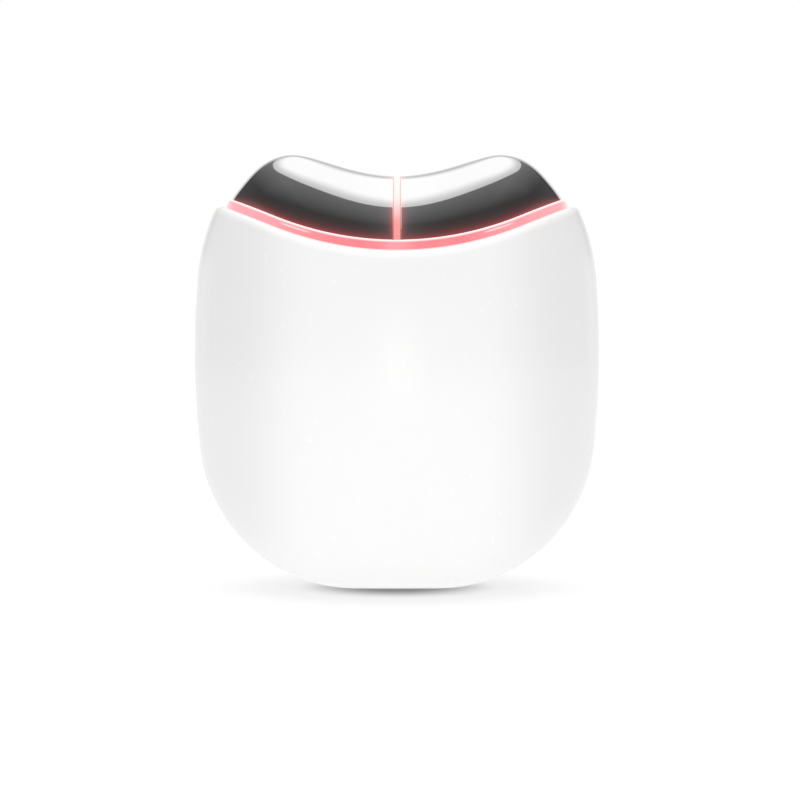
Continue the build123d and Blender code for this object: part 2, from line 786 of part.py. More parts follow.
with BuildPart() as indicator_leds:
    for x in light_xs:
        add(on_board_back(light_led_size, x, lights_z))
write(indicator_leds.part, "indicator_leds")

light_span = light_pitch + light_radius + part_gap
light_bar_y = back_face_at(light_span, lights_z, wall) - fit_gap - light_bar_thickness
with BuildPart() as light_pipe_bar:
    add(block_between((-light_span, light_bar_y, lights_z - light_bar_height / 2),
                      (light_span, half_depth, lights_z + light_bar_height / 2)))
    add(insert_form, mode=Mode.INTERSECT)
with BuildPart() as indicator_light_pipe:
    add(bars([(x, lights_z) for x in light_xs], light_radius,
             board_back + light_led_size[1] + fit_gap, far))
    add(outer_form, mode=Mode.INTERSECT)
    add(light_pipe_bar)
write(indicator_light_pipe.part, "indicator_light_pipe")

# ---------------------------------------------------------------- buttons


def button_form(z, radius, face):
    """A button flush with the casing: a dished cap, a flange behind the collar and a stem to the switch."""
    dish_half = radius - button_rim
    dish_radius = (dish_half**2 + button_dish**2) / (2 * button_dish)
    flange_top = face - button_gap / 2
    with BuildPart() as cap:
        add(bars([(0, z)], radius, flange_top - button_flange, far))
        add(outer_form, mode=Mode.INTERSECT)
        with Locations((0, back_face_at(0, z, 0) - button_dish + dish_radius, z)):
            Sphere(dish_radius, mode=Mode.SUBTRACT)
        add(bars([(0, z)], radius + button_flange, flange_top - button_flange, flange_top))
        add(bars([(0, z)], button_stem_radius, plunger_top + seat_gap, flange_top))
    return cap.part


def symbol_plane(z):
    """The plane of the floor of a symbol cut in a button's dish."""
    return back_plane(back_face_at(0, z, 0) - button_dish - symbol_depth)


power_cap = button_form(power_z, power_button_radius, power_face)
with BuildPart() as power_button:
    add(power_cap)
    with BuildSketch(symbol_plane(power_z)):
        with Locations((0, power_z)):
            Circle(symbol_radius + symbol_stroke / 2)
            Circle(symbol_radius - symbol_stroke / 2, mode=Mode.SUBTRACT)
        with Locations((0, power_z + symbol_radius)):
            Rectangle(3 * symbol_stroke, symbol_radius, mode=Mode.SUBTRACT)
        with Locations((0, power_z + symbol_radius * 3 / 4)):
            Rectangle(symbol_stroke, symbol_radius)
    extrude(amount=2 * button_dish, mode=Mode.SUBTRACT)
write(power_button.part, "power_button")

level_cap = button_form(level_z, level_button_radius, level_face)
with BuildPart() as level_button:
    add(level_cap)
    with BuildSketch(symbol_plane(level_z)):
        with Locations((0, level_z)):
            Rectangle(symbol_stroke, 2 * symbol_radius)
            Rectangle(2 * symbol_radius, symbol_stroke)
    extrude(amount=2 * button_dish, mode=Mode.SUBTRACT)
write(level_button.part, "level_button")

# ---------------------------------------------------------------- charging socket
usb_mouth = (usb_width - 2 * usb_wall, usb_height - 2 * usb_wall)
usb_top = usb_setback + usb_length
with BuildPart() as usb_shell:
    with BuildSketch(Plane.XY.offset(usb_setback)):
        SlotOverall(usb_width, usb_height)
        SlotOverall(*usb_mouth, mode=Mode.SUBTRACT)
    extrude(amount=usb_length)
write(usb_shell.part, "usb_shell")
with BuildPart() as usb_tongue:
    with BuildSketch(Plane.XY.offset(usb_top - usb_block_length)):
        SlotOverall(usb_mouth[0] - 2 * seat_gap, usb_mouth[1] - 2 * seat_gap)
    extrude(amount=usb_block_length)
    with BuildSketch(Plane.XY.offset(usb_top - usb_block_length - usb_tongue_length)):
        Rectangle(usb_tongue_width, usb_tongue_height)
    extrude(amount=usb_tongue_length)
write(usb_tongue.part, "usb_tongue")

# ---------------------------------------------------------------- battery and its connector
with BuildPart() as battery:
    add(block_between((-battery_half_width, battery_back - battery_thickness, battery_low),
                      (battery_half_width, battery_back, battery_high)))
    fillet(battery.edges(), battery_edge)
write(battery.part, "battery")
tape_x = battery_half_width - tape_margin
with BuildPart() as battery_tape:
    add(block_between((-tape_x, battery_back, battery_low + tape_margin),
                      (tape_x, board_front, battery_high - tape_margin)))
write(battery_tape.part, "battery_tape")

pocket_x = socket_size[0] / 2 - socket_wall
pocket_y = socket_size[1] / 2 - socket_wall
with BuildPart() as battery_socket:
    add(block_between((socket_x - socket_size[0] / 2, board_front - socket_size[1], socket_low),
                      (socket_x + socket_size[0] / 2, board_front, socket_low + socket_size[2])))
    add(block_between((socket_x - pocket_x, plug_y - pocket_y, socket_low + socket_wall),
                      (socket_x + pocket_x, plug_y + pocket_y, plug_top)), mode=Mode.SUBTRACT)
write(battery_socket.part, "battery_socket")
with BuildPart() as battery_plug:
    add(block_between((socket_x - pocket_x + seat_gap, plug_y - pocket_y + seat_gap,
                       socket_low + socket_wall + seat_gap),
                      (socket_x + pocket_x - seat_gap, plug_y + pocket_y - seat_gap, plug_top)))
    chamfer(battery_plug.edges().filter_by(Axis.Z), part_gap / 2)
write(battery_plug.part, "battery_plug")

# Each lead rises from the battery's top edge, crosses over and drops into the plug.
lead_start_x = battery_half_width - battery_edge - lead_radius - part_gap
with BuildPart() as battery_leads:
    for step in (0, 1):
        start_x = lead_start_x - step * lead_pitch
        end_x = socket_x + (step - 0.5) * lead_pitch
        rise = battery_high + lead_bend + step * lead_pitch - part_gap
        with BuildLine() as battery_route:
            FilletPolyline((start_x, battery_middle, battery_high), (start_x, battery_middle, rise),
                           (end_x, plug_y, rise), (end_x, plug_y, plug_top),
                           radius=lead_bend - 2 * part_gap)
        with BuildSketch(Plane.XY.offset(battery_high)):
            with Locations((start_x, battery_middle)):
                Circle(lead_radius)
        sweep(path=battery_route.wire())
write(battery_leads.part, "battery_leads")

# ---------------------------------------------------------------- socket of the lighting flex
with BuildPart() as flex_socket:
    add(block_between((-flex_socket_size[0] / 2, board_front - flex_socket_size[1], flex_socket_low),
                      (flex_socket_size[0] / 2, board_front, flex_socket_low + flex_socket_size[2])))
    add(block_between((-flex_tail_width / 2 - seat_gap, tail_y - flex_thickness / 2 - seat_gap,
                       tail_foot - seat_gap),
                      (flex_tail_width / 2 + seat_gap, tail_y + flex_thickness / 2 + seat_gap, board_top)),
        mode=Mode.SUBTRACT)
write(flex_socket.part, "flex_socket")
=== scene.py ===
"""Looks of a hand-held facial toning device, dressed round its solids.

The device stands upright on its base: +X is to the right, -Y is its front and +Z is up. Sizes are written in
millimetres as fields of the class that uses them, and every mesh is built in metres.
"""

import json
import logging
import math
from dataclasses import dataclass
from enum import Enum
from typing import Callable, Sequence

import bpy
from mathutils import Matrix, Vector

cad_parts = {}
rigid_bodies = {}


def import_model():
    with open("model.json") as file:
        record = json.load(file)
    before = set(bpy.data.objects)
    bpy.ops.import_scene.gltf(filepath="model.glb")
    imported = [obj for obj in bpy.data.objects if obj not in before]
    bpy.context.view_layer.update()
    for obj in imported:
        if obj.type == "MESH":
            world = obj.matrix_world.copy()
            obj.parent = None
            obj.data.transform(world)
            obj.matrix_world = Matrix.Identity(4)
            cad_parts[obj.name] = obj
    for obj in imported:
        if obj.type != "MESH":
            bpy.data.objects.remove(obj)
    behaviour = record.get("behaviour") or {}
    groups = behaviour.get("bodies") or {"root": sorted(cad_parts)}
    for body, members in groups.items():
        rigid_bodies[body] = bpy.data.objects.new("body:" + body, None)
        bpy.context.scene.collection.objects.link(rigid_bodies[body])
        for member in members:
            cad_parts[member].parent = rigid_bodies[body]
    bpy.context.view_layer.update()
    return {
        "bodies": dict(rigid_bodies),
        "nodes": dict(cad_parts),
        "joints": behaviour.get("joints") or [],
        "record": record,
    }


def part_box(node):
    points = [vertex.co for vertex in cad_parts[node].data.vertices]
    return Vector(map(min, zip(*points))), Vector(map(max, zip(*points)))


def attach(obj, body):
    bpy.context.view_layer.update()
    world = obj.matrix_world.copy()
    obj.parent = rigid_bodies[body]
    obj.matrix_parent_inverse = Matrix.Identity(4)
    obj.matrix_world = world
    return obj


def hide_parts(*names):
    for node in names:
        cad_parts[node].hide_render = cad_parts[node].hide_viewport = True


LOG = logging.getLogger("toning_device")
MM = 0.001

Colour = tuple[float, float, float]
Point = tuple[float, float, float]
Span = tuple[float, float]
Inputs = dict[str, object]

BLACK: Colour = (0.0, 0.0, 0.0)
WHITE: Colour = (1.0, 1.0, 1.0)
# Most of a cloudy pattern lies between these two levels.
MOST_NOISE: Span = (0.3, 0.7)
# How often a search halves its range.
HALVINGS = 40


class Body(Enum):
    """The body that the new pieces ride on."""

    HOUSING = "body"


class Side(Enum):
    """The sides of the device, by the sign of their X."""

    RIGHT = 1
    LEFT = -1


class Blend(Enum):
    """How a math node joins its two inputs."""

    ADD = "ADD"
    SUBTRACT = "SUBTRACT"
    MULTIPLY = "MULTIPLY"
    DIVIDE = "DIVIDE"
    LARGER = "MAXIMUM"
    GREATER_THAN = "GREATER_THAN"
    SIZE = "ABSOLUTE"
    ROOT = "SQRT"


class Texture(Enum):
    """The kinds of pattern: the node, its input for the detail and the output that is used."""

    CLOUDS = ("ShaderNodeTexNoise", "Detail", "Fac")
    CELLS = ("ShaderNodeTexVoronoi", "Detail", "Distance")
    TRACKS = ("ShaderNodeTexBrick", "Mortar Size", "Fac")
    STRIPS = ("ShaderNodeTexWave", "Distortion", "Fac")


# ---------------------------------------------------------------- node graphs
class Graph:
    """A node tree with short calls for the nodes that repeat."""

    def __init__(self, tree: bpy.types.NodeTree) -> None:
        """Empties the tree.

        Args:
            tree: The node tree that is filled.
        """
        self.tree = tree
        self.levels: dict[object, bpy.types.NodeSocket] = {}
        tree.nodes.clear()

    def node(self, kind: str, **settings: object) -> bpy.types.Node:
        """Adds a node.

        Args:
            kind: The node's full type.
            settings: Properties of the node.

        Returns:
            The new node.
        """
        made = self.tree.nodes.new(kind)
        for name, value in settings.items():
            setattr(made, name, value)
        return made

    def feed(self, socket: bpy.types.NodeSocket, source: object) -> None:
        """Links an output to an input, or sets the input's value.

        Args:
            socket: The input.
            source: An output socket, or a plain value.
        """
        if isinstance(source, bpy.types.NodeSocket):
            self.tree.links.new(source, socket)
        elif socket.type == "RGBA" and len(source) == 3:
            socket.default_value = (*source, 1.0)
        else:
            socket.default_value = source

    def feeds(self, node: bpy.types.Node, sources: Inputs) -> None:
        """Feeds several inputs of a node, by their names."""
        for name, source in sources.items():
            self.feed(node.inputs[name], source)

    def place(self) -> bpy.types.NodeSocket:
        """The point's place on the object."""
        return self.node("ShaderNodeTexCoord").outputs["Object"]

    def axes(self, vector: object) -> list[bpy.types.NodeSocket]:
        """The three numbers of a vector.

        Args:
            vector: The vector.

        Returns:
            Their sockets.
        """
        split = self.node("ShaderNodeSeparateXYZ")
        self.feed(split.inputs[0], vector)
        return list(split.outputs)

    def attribute(self, name: str) -> bpy.types.NodeSocket:
        """A number that the mesh keeps for each point."""
        return self.node("ShaderNodeAttribute", attribute_name=name).outputs["Fac"]

    def stretched(self, scale: Point, turn: Point) -> bpy.types.NodeSocket:
        """The point's place, stretched so that a pattern runs one way.

        Args:
            scale: The factor along each axis.
            turn: The turn about each axis, in degrees.

        Returns:
            The stretched place.
        """
        mapping = self.node("ShaderNodeMapping")
        self.feeds(mapping, {"Vector": self.place(), "Scale": scale,
                             "Rotation": tuple(math.radians(angle) for angle in turn)})
        return mapping.outputs["Vector"]

    def between(self, share: object, low: float, high: float, start: float = 0.0,
                end: float = 1.0, smooth: bool = False) -> bpy.types.NodeSocket:
        """Turns a number between start and end into one between low and high.

        Args:
            share: The number that is turned.
            low: The result at start.
            high: The result at end.
            start: The lower bound of the number.
            end: The upper bound of the number.
            smooth: Whether the result eases in and out.

        Returns:
            The result's socket.
        """
        ranged = self.node("ShaderNodeMapRange", interpolation_type="SMOOTHSTEP" if smooth else "LINEAR")
        self.feeds(ranged, {"Value": share, "From Min": start, "From Max": end,
                            "To Min": low, "To Max": high})
        return ranged.outputs["Result"]

    def math(self, how: Blend, first: object, second: object = 0.0) -> bpy.types.NodeSocket:
        """Joins two numbers.

        Args:
            how: The sum.
            first: The first number.
            second: The second number.

        Returns:
            The result's socket.
        """
        sum_node = self.node("ShaderNodeMath", operation=how.value)
        self.feed(sum_node.inputs[0], first)
        self.feed(sum_node.inputs[1], second)
        return sum_node.outputs[0]

    def joined(self, how: Blend, *numbers: object) -> bpy.types.NodeSocket:
        """Joins several numbers, from the first to the last.

        Args:
            how: The sum.
            numbers: The numbers.

        Returns:
            The result's socket.
        """
        result = numbers[0]
        for number in numbers[1:]:
            result = self.math(how, result, number)
        return result

    def length(self, x: object, y: object) -> bpy.types.NodeSocket:
        """The length of an arrow.

        Args:
            x: Its first number.
            y: Its second number.

        Returns:
            The length's socket.
        """
        squares = [self.math(Blend.MULTIPLY, part, part) for part in (x, y)]
        return self.math(Blend.ROOT, self.math(Blend.ADD, *squares))

    def mix(self, share: object, first: object, second: object) -> bpy.types.NodeSocket:
        """Mixes two colours.

        Args:
            share: The second colour's share.
            first: The first colour.
            second: The second colour.

        Returns:
            The mixed colour.
        """
        mixer = self.node("ShaderNodeMix", data_type="RGBA")
        self.feed(mixer.inputs["Factor"], share)
        colours = [socket for socket in mixer.inputs if socket.type == "RGBA"]
        for socket, colour in zip(colours, (first, second)):
            self.feed(socket, colour)
        return next(socket for socket in mixer.outputs if socket.type == "RGBA")

    def bump(self, height: object, depth: float, strength: float) -> bpy.types.NodeSocket:
        """Turns a height into a bumpy normal.

        Args:
            height: The height, from 0 to 1.
            depth: The height's real size, in millimetres.
            strength: Its share that is used.

        Returns:
            The normal's socket.
        """
        made = self.node("ShaderNodeBump")
        self.feeds(made, {"Height": height, "Distance": depth * MM, "Strength": strength})
        return made.outputs["Normal"]


class ShapeGraph(Graph):
    """A tree of geometry nodes with named inputs, whose result becomes a plain mesh."""

    def __init__(self, name: str) -> None:
        """Makes the tree with its input and output.

        Args:
            name: The tree's name.
        """
        super().__init__(bpy.data.node_groups.new(name, "GeometryNodeTree"))
        self.tree.interface.new_socket("Geometry", in_out="OUTPUT", socket_type="NodeSocketGeometry")
        self.source = self.node("NodeGroupInput")
        self.settings: dict[str, object] = {}

    def size(self, name: str, kind: str, value: object) -> bpy.types.NodeSocket:
        """Adds a named input.

        Args:
            name: The input's name.
            kind: Its type, without the NodeSocket prefix.
            value: What the modifier gives it.

        Returns:
            The input as an output of the group's input node.
        """
        item = self.tree.interface.new_socket(name, in_out="INPUT", socket_type="NodeSocket" + kind)
        self.settings[item.identifier] = value
        return self.source.outputs[name]

    def point(self, x: object = 0.0, y: object = 0.0, z: object = 0.0) -> bpy.types.NodeSocket:
        """A vector of three numbers.

        Args:
            x: The first number.
            y: The second number.
            z: The third number.

        Returns:
            The vector's socket.
        """
        joined = self.node("ShaderNodeCombineXYZ")
        for socket, value in zip(joined.inputs, (x, y, z)):
            self.feed(socket, value)
        return joined.outputs[0]

    def finish(self, shape: bpy.types.NodeSocket, material: bpy.types.NodeSocket) -> None:
        """Ends the tree: makes the instances real and gives them their material.

        Args:
            shape: The geometry.
            material: The material's socket.
        """
        real = self.node("GeometryNodeRealizeInstances")
        self.feed(real.inputs[0], shape)
        painted = self.node("GeometryNodeSetMaterial")
        self.feed(painted.inputs["Geometry"], real.outputs[0])
        self.feed(painted.inputs["Material"], material)
        self.feed(self.node("NodeGroupOutput").inputs[0], painted.outputs[0])

    def apply(self, piece: bpy.types.Object) -> None:
        """Puts the tree on an object, with every input set.

        Args:
            piece: The object.
        """
        modifier = piece.modifiers.new("shape", "NODES")
        modifier.node_group = self.tree
        for identifier, value in self.settings.items():
            modifier[identifier] = value


@dataclass(frozen=True)
class Slope:
    """A level that goes from low to high while a number goes from start to end."""

    low: float
    high: float
    start: float
    end: float
    smooth: bool = False

    def of(self, graph: Graph, number: object) -> bpy.types.NodeSocket:
        """The level for a number."""
        return graph.between(number, self.low, self.high, self.start, self.end, self.smooth)


@dataclass(frozen=True)
class Pattern:
    """A pattern on an object, which can be stretched and turned there.

    scale is its patches per metre. detail is how many finer layers it has, or the width of a track.
    """

    kind: Texture
    scale: float
    detail: float = 0.0
    run: Point | None = None
    turn: Point = (0.0, 0.0, 0.0)

    def on(self, graph: Graph) -> bpy.types.NodeSocket:
        """The pattern in a tree, where it is made once.

        Args:
            graph: The material's node tree.

        Returns:
            A number from 0 to 1.
        """
        if self not in graph.levels:
            kind, detail, output = self.kind.value
            place = graph.place() if self.run is None else graph.stretched(self.run, self.turn)
            texture = graph.node(kind)
            graph.feeds(texture, {"Vector": place, "Scale": self.scale, detail: self.detail})
            graph.levels[self] = texture.outputs[output]
        return graph.levels[self]


# ---------------------------------------------------------------- finishes
@dataclass(frozen=True)
class Finish:
    """What every finish has: the name of its slot, its colour and its patterns.

    Where the pattern tint is 1, the colour is multiplied by tone. The pattern wear takes the roughness from
    the first of its factors to the second, between the bounds of within. The pattern relief raises the skin
    by depth, in millimetres, of which strength is the share that is used.
    """

    name: str
    colour: Colour
    roughness: float
    tint: Pattern
    wear: Pattern
    factors: Span
    relief: Pattern
    depth: float
    strength: float = 0.5
    tone: float = 1.0
    within: Span = (0.0, 1.0)
    metal: float = 0.0

    def material(self) -> bpy.types.Material:
        """Builds the material.

        Returns:
            A new material with its nodes.
        """
        made = bpy.data.materials.new(self.name + "_finish")
        made.use_nodes = True
        made.diffuse_color = (*self.colour, 1.0)
        graph = Graph(made.node_tree)
        shader = graph.node("ShaderNodeBsdfPrincipled")
        graph.feeds(shader, {"Base Color": self.colour, "Roughness": self.roughness, "Metallic": self.metal})
        graph.feeds(shader, self.paint(graph))
        graph.feeds(graph.node("ShaderNodeOutputMaterial"), {"Surface": shader.outputs["BSDF"]})
        return made

    def other(self) -> Colour:
        """The colour where the tint is 1."""
        return tuple(min(1.0, part * self.tone) for part in self.colour)

    def paint(self, graph: Graph) -> Inputs:
        """Makes the patterns, in the order tint, wear and relief.

        Args:
            graph: The material's node tree.

        Returns:
            What each input of the shader gets.
        """
        low, high = (self.roughness * factor for factor in self.factors)
        return {
            "Base Color": graph.mix(self.tint.on(graph), self.colour, self.other()),
            "Roughness": graph.between(self.wear.on(graph), low, high, *self.within),
            "Normal": graph.bump(self.relief.on(graph), self.depth, self.strength),
        }


@dataclass(frozen=True)
class Saddle:
    """The casing's saddle-shaped top edge: an arc with a straight run at each end."""

    low_point: float = 64.3
    radius: float = 62.0
    angle: float = 22.5

    def height(self, graph: Graph) -> tuple[bpy.types.NodeSocket, bpy.types.NodeSocket]:
        """Height above the casing's saddle-shaped edge, square to it, with the distance from the middle.

        Args:
            graph: The material's node tree.

        Returns:
            The height and the distance, in millimetres.
        """
        x, _, z = graph.axes(graph.place())
        x = graph.math(Blend.MULTIPLY, graph.math(Blend.SIZE, x), 1 / MM)
        z = graph.math(Blend.MULTIPLY, z, 1 / MM)
        drop = graph.math(Blend.SUBTRACT, self.low_point + self.radius, z)
        round_part = graph.math(Blend.SUBTRACT, self.radius, graph.length(x, drop))
        lean = math.radians(self.angle)
        along = graph.math(Blend.ADD, graph.math(Blend.MULTIPLY, x, math.sin(lean)),
                           graph.math(Blend.MULTIPLY, drop, math.cos(lean)))
        straight = graph.math(Blend.SUBTRACT, self.radius, along)
        beyond = graph.math(Blend.GREATER_THAN, x, self.radius * math.sin(lean))
        change = graph.math(Blend.MULTIPLY, beyond, graph.math(Blend.SUBTRACT, straight, round_part))
        return graph.math(Blend.ADD, round_part, change), x


@dataclass(frozen=True)
class GlossPlastic(Finish):
    """Injection-moulded plastic with soft colour drift, uneven polish and the faint ripple of its mould."""

    tint: Pattern = Pattern(Texture.CLOUDS, 55.0, 3.0)
    wear: Pattern = Pattern(Texture.CLOUDS, 900.0, 3.0)
    factors: Span = (0.8, 1.25)
    relief: Pattern = Pattern(Texture.CLOUDS, 240.0, 1.0)
    depth: float = 0.02
    tone: float = 0.975
    within: Span = MOST_NOISE
    coat: float = 0.35
    coat_roughness: float = 0.08

    def paint(self, graph: Graph) -> Inputs:
        """Adds the polished coat."""
        return super().paint(graph) | {"Coat Weight": self.coat, "Coat Roughness": self.coat_roughness}


@dataclass(frozen=True)
class LitCasing(GlossPlastic):
    """White casing plastic, with a pale glow painted into the rim along its top edge, next to the light
    guide.
    """

    # painted glow: a pale light painted into the rim along the top edge, next to the light guide
    painted_rim_glow: Colour = (0.2, 0.18, 0.175)
    rim: Slope = Slope(0.0, 1.0, -1.9, -0.2, True)
    edge: Saddle = Saddle()

    def paint(self, graph: Graph) -> Inputs:
        """Adds the painted glow in the rim.

        Args:
            graph: The material's node tree.

        Returns:
            What each input of the shader gets.
        """
        height, _ = self.edge.height(graph)
        light = graph.mix(self.rim.of(graph, height), BLACK, self.painted_rim_glow)
        return super().paint(graph) | {"Emission Color": light, "Emission Strength": 1.0}


@dataclass(frozen=True)
class PolishedMetal(Finish):
    """Plated metal with faint haze and fine polishing marks. Near the light guide its red light is painted on
    as glow, and near the bar its pale light is painted on as sheen.
    """

    tint: Pattern = Pattern(Texture.CLOUDS, 120.0, 3.0)
    wear: Pattern = tint
    factors: Span = (0.7, 1.4)
    relief: Pattern = Pattern(Texture.CLOUDS, 700.0, 4.0, (0.12, 1.0, 1.0))
    depth: float = 0.002
    strength: float = 0.25
    tone: float = 0.96
    within: Span = MOST_NOISE
    metal: float = 1.0
    # painted light: glow is the light guide's red light and sheen the bar's pale light, painted on the metal
    glow: Colour = (0.5, 0.055, 0.06)
    sheen: Colour = (0.056, 0.052, 0.052)

    def paint(self, graph: Graph) -> Inputs:
        """Adds the light guide's painted red glow and the bar's painted pale sheen.

        Args:
            graph: The material's node tree.

        Returns:
            What each input of the shader gets.
        """
        # the painted glow and sheen, by the attributes that the mesh keeps
        sheen = graph.mix(graph.attribute("sheen"), BLACK, self.sheen)
        light = graph.mix(graph.attribute("glow"), sheen, self.glow)
        return super().paint(graph) | {"Emission Color": light, "Emission Strength": 1.0}


@dataclass(frozen=True)
class GlowingGuide(Finish):
    """Frosted clear plastic that carries pink light. Its paler edges, paler ends and two pale streaks are
    painted highlights; its bar is whiter towards the top, partly a painted highlight, and darker along its
    rim, a painted shade.

    Its slopes follow the height above the casing's edge or the distance from the middle, in millimetres.
    """

    tint: Pattern = Pattern(Texture.CLOUDS, 1500.0, 2.0)
    wear: Pattern = tint
    factors: Span = (0.75, 1.25)
    relief: Pattern = tint
    depth: float = 0.004
    strength: float = 0.3
    tone: float = 0.96
    middle: Colour = (0.85, 0.12, 0.155)
    # end, edge and the slopes below paint highlights on the ring: paler ends, paler edges and two pale
    # streaks
    end: Colour = (0.92, 0.36, 0.40)
    edge: Colour = (0.92, 0.86, 0.85)
    # the bar: whiter towards the top, partly a painted highlight; the darker rim colours are a painted shade
    bar_foot: Colour = (0.85, 0.225, 0.21)
    bar_top: Colour = (0.92, 0.8, 0.77)
    shaded_rim_foot: Colour = (0.2, 0.07, 0.06)
    shaded_rim_top: Colour = (0.62, 0.45, 0.43)
    foot: Saddle = Saddle()
    highlight_towards_end: Slope = Slope(0.0, 1.0, 12.0, 33.0)
    bright_spot: Slope = Slope(0.45, 0.0, 0.8, 4.5, True)
    painted_streak_height: tuple[Slope, ...] = (Slope(0.0, 1.0, 0.95, 1.15, True), Slope(1.0, 0.0, 1.25, 1.45, True))
    painted_streak_length: tuple[Slope, ...] = (Slope(0.0, 1.0, 15.8, 18.0, True), Slope(1.0, 0.0, 20.8, 23.0, True))
    painted_streak_share: float = 0.6
    low_edge_highlight: Slope = Slope(1.0, 0.0, 0.02, 0.22, True)
    high_edge_highlight: Slope = Slope(0.0, 1.0, 1.45, 1.9, True)
    tip: Slope = Slope(0.0, 0.75, 31.0, 33.6, True)
    bar_start: float = 2.02
    bar_rise: Slope = Slope(0.0, 1.0, 4.5, 11.0, True)
    bar_rim_shade: Slope = Slope(0.0, 1.0, 0.475, 0.655, True)
    clouds: Pattern = Pattern(Texture.CLOUDS, 400.0, 2.0)
    cloud_share: float = 0.12

    def ring(self, graph: Graph, height: object, x: object) -> bpy.types.NodeSocket:
        """The light of the ring round the head, with painted highlights: paler edges, paler ends and two pale
        streaks. It is also paler in a spot under the bar.

        Args:
            graph: The material's node tree.
            height: Height above the casing's edge.
            x: Distance from the middle.

        Returns:
            The light's colour.
        """
        # painted highlights: paler towards the ends, two pale streaks and pale edges; also paler in a spot
        # under the bar
        pale = graph.math(Blend.LARGER, self.highlight_towards_end.of(graph, x), self.bright_spot.of(graph, x))
        painted_streak = [slope.of(graph, height) for slope in self.painted_streak_height]
        painted_streak += [slope.of(graph, x) for slope in self.painted_streak_length]
        edges = graph.math(Blend.LARGER, self.low_edge_highlight.of(graph, height), self.high_edge_highlight.of(graph, height))
        colour = graph.mix(pale, self.middle, self.end)
        for share in (graph.joined(Blend.MULTIPLY, *painted_streak, self.painted_streak_share), edges, self.tip.of(graph, x)):
            colour = graph.mix(share, colour, self.edge)
        return colour

    def bar(self, graph: Graph, height: object, x: object) -> bpy.types.NodeSocket:
        """The light of the bar between the electrodes: pink at its foot, where its light is strongest, whiter
        towards its top, partly a painted highlight, and darker along its rim, a painted shade.

        Args:
            graph: The material's node tree.
            height: Height above the casing's edge.
            x: Distance from the middle.

        Returns:
            The light's colour.
        """
        # painted highlight towards the top and painted shade along the rim
        rise = self.bar_rise.of(graph, height)
        return graph.mix(self.bar_rim_shade.of(graph, x), graph.mix(rise, self.bar_foot, self.bar_top),
                         graph.mix(rise, self.shaded_rim_foot, self.shaded_rim_top))

    def paint(self, graph: Graph) -> Inputs:
        """Adds the light's colour, which follows the ring and the bar.

        Args:
            graph: The material's node tree.

        Returns:
            What each input of the shader gets.
        """
        height, x = self.foot.height(graph)
        is_bar = graph.math(Blend.GREATER_THAN, height, self.bar_start)
        light = graph.mix(is_bar, self.ring(graph, height, x), self.bar(graph, height, x))
        light = graph.mix(graph.between(self.clouds.on(graph), 0.0, self.cloud_share), light, self.edge)
        return super().paint(graph) | {"Emission Color": light, "Emission Strength": 1.0}


@dataclass(frozen=True)
class SatinPlastic(Finish):
    """Moulded plastic with a fine eroded grain and an uneven sheen."""

    tint: Pattern = Pattern(Texture.CLOUDS, 150.0, 3.0)
    wear: Pattern = tint
    factors: Span = (0.85, 1.15)
    relief: Pattern = Pattern(Texture.CELLS, 2200.0)
    depth: float = 0.012
    tone: float = 0.92


@dataclass(frozen=True)
class FrostedLens(Finish):
    """Frosted clear plastic lit from behind."""

    tint: Pattern = Pattern(Texture.CLOUDS, 2500.0, 3.0)
    wear: Pattern = tint
    factors: Span = (0.875, 1.5)
    relief: Pattern = tint
    depth: float = 0.006
    strength: float = 0.4
    tone: float = 0.94
    light: Colour = (0.8, 0.35, 0.38)
    spread: Pattern = Pattern(Texture.CLOUDS, 700.0, 1.0)
    power: float = 0.32

    def paint(self, graph: Graph) -> Inputs:
        """Adds the light that the frosting spreads."""
        light = graph.mix(self.spread.on(graph), self.light, self.colour)
        return super().paint(graph) | {"Emission Color": light, "Emission Strength": self.power}


@dataclass(frozen=True)
class SoftRubber(Finish):
    """Silicone seal with a dusty skin."""

    tint: Pattern = Pattern(Texture.CLOUDS, 600.0, 5.0)
    wear: Pattern = tint
    factors: Span = (0.7857, 1.1429)
    relief: Pattern = tint
    depth: float = 0.01
    tone: float = 1.35


@dataclass(frozen=True)
class BoardLacquer(Finish):
    """Solder lacquer over copper tracks."""

    tint: Pattern = Pattern(Texture.TRACKS, 300.0, 0.03, (1.0, 1.0, 1.0), (90.0, 0.0, 0.0))
    wear: Pattern = Pattern(Texture.CLOUDS, 500.0, 3.0)
    factors: Span = (0.7143, 1.2857)
    relief: Pattern = tint
    depth: float = 0.02
    track: Colour = (0.02, 0.16, 0.07)
    worn_share: float = 0.3

    def other(self) -> Colour:
        """The colour of the tracks."""
        return self.track

    def paint(self, graph: Graph) -> Inputs:
        """Adds worn places, where the copper shows.

        Args:
            graph: The material's node tree.

        Returns:
            What each input of the shader gets.
        """
        inputs = super().paint(graph)
        worn = graph.between(self.wear.on(graph), 0.0, self.worn_share)
        return inputs | {"Base Color": graph.mix(worn, inputs["Base Color"], self.track)}


@dataclass(frozen=True)
class FlexFilm(Finish):
    """Amber film with copper strips inside."""

    tint: Pattern = Pattern(Texture.STRIPS, 500.0)
    wear: Pattern = Pattern(Texture.CLOUDS, 400.0, 2.0)
    factors: Span = (0.6667, 1.3333)
    relief: Pattern = tint
    depth: float = 0.01
    strength: float = 0.4
    copper: Colour = (0.45, 0.2, 0.07)

    def other(self) -> Colour:
        """The colour of the strips."""
        return self.copper


@dataclass(frozen=True)
class BareMetal(Finish):
    """Turned or rolled metal with wear and with fine marks that run one way."""

    tint: Pattern = Pattern(Texture.CLOUDS, 350.0, 4.0)
    wear: Pattern = Pattern(Texture.CLOUDS, 2400.0, 4.0, (0.1, 1.0, 1.0))
    factors: Span = (0.7, 1.4)
    relief: Pattern = wear
    depth: float = 0.006
    strength: float = 0.4
    tone: float = 0.8
    within: Span = MOST_NOISE
    metal: float = 1.0


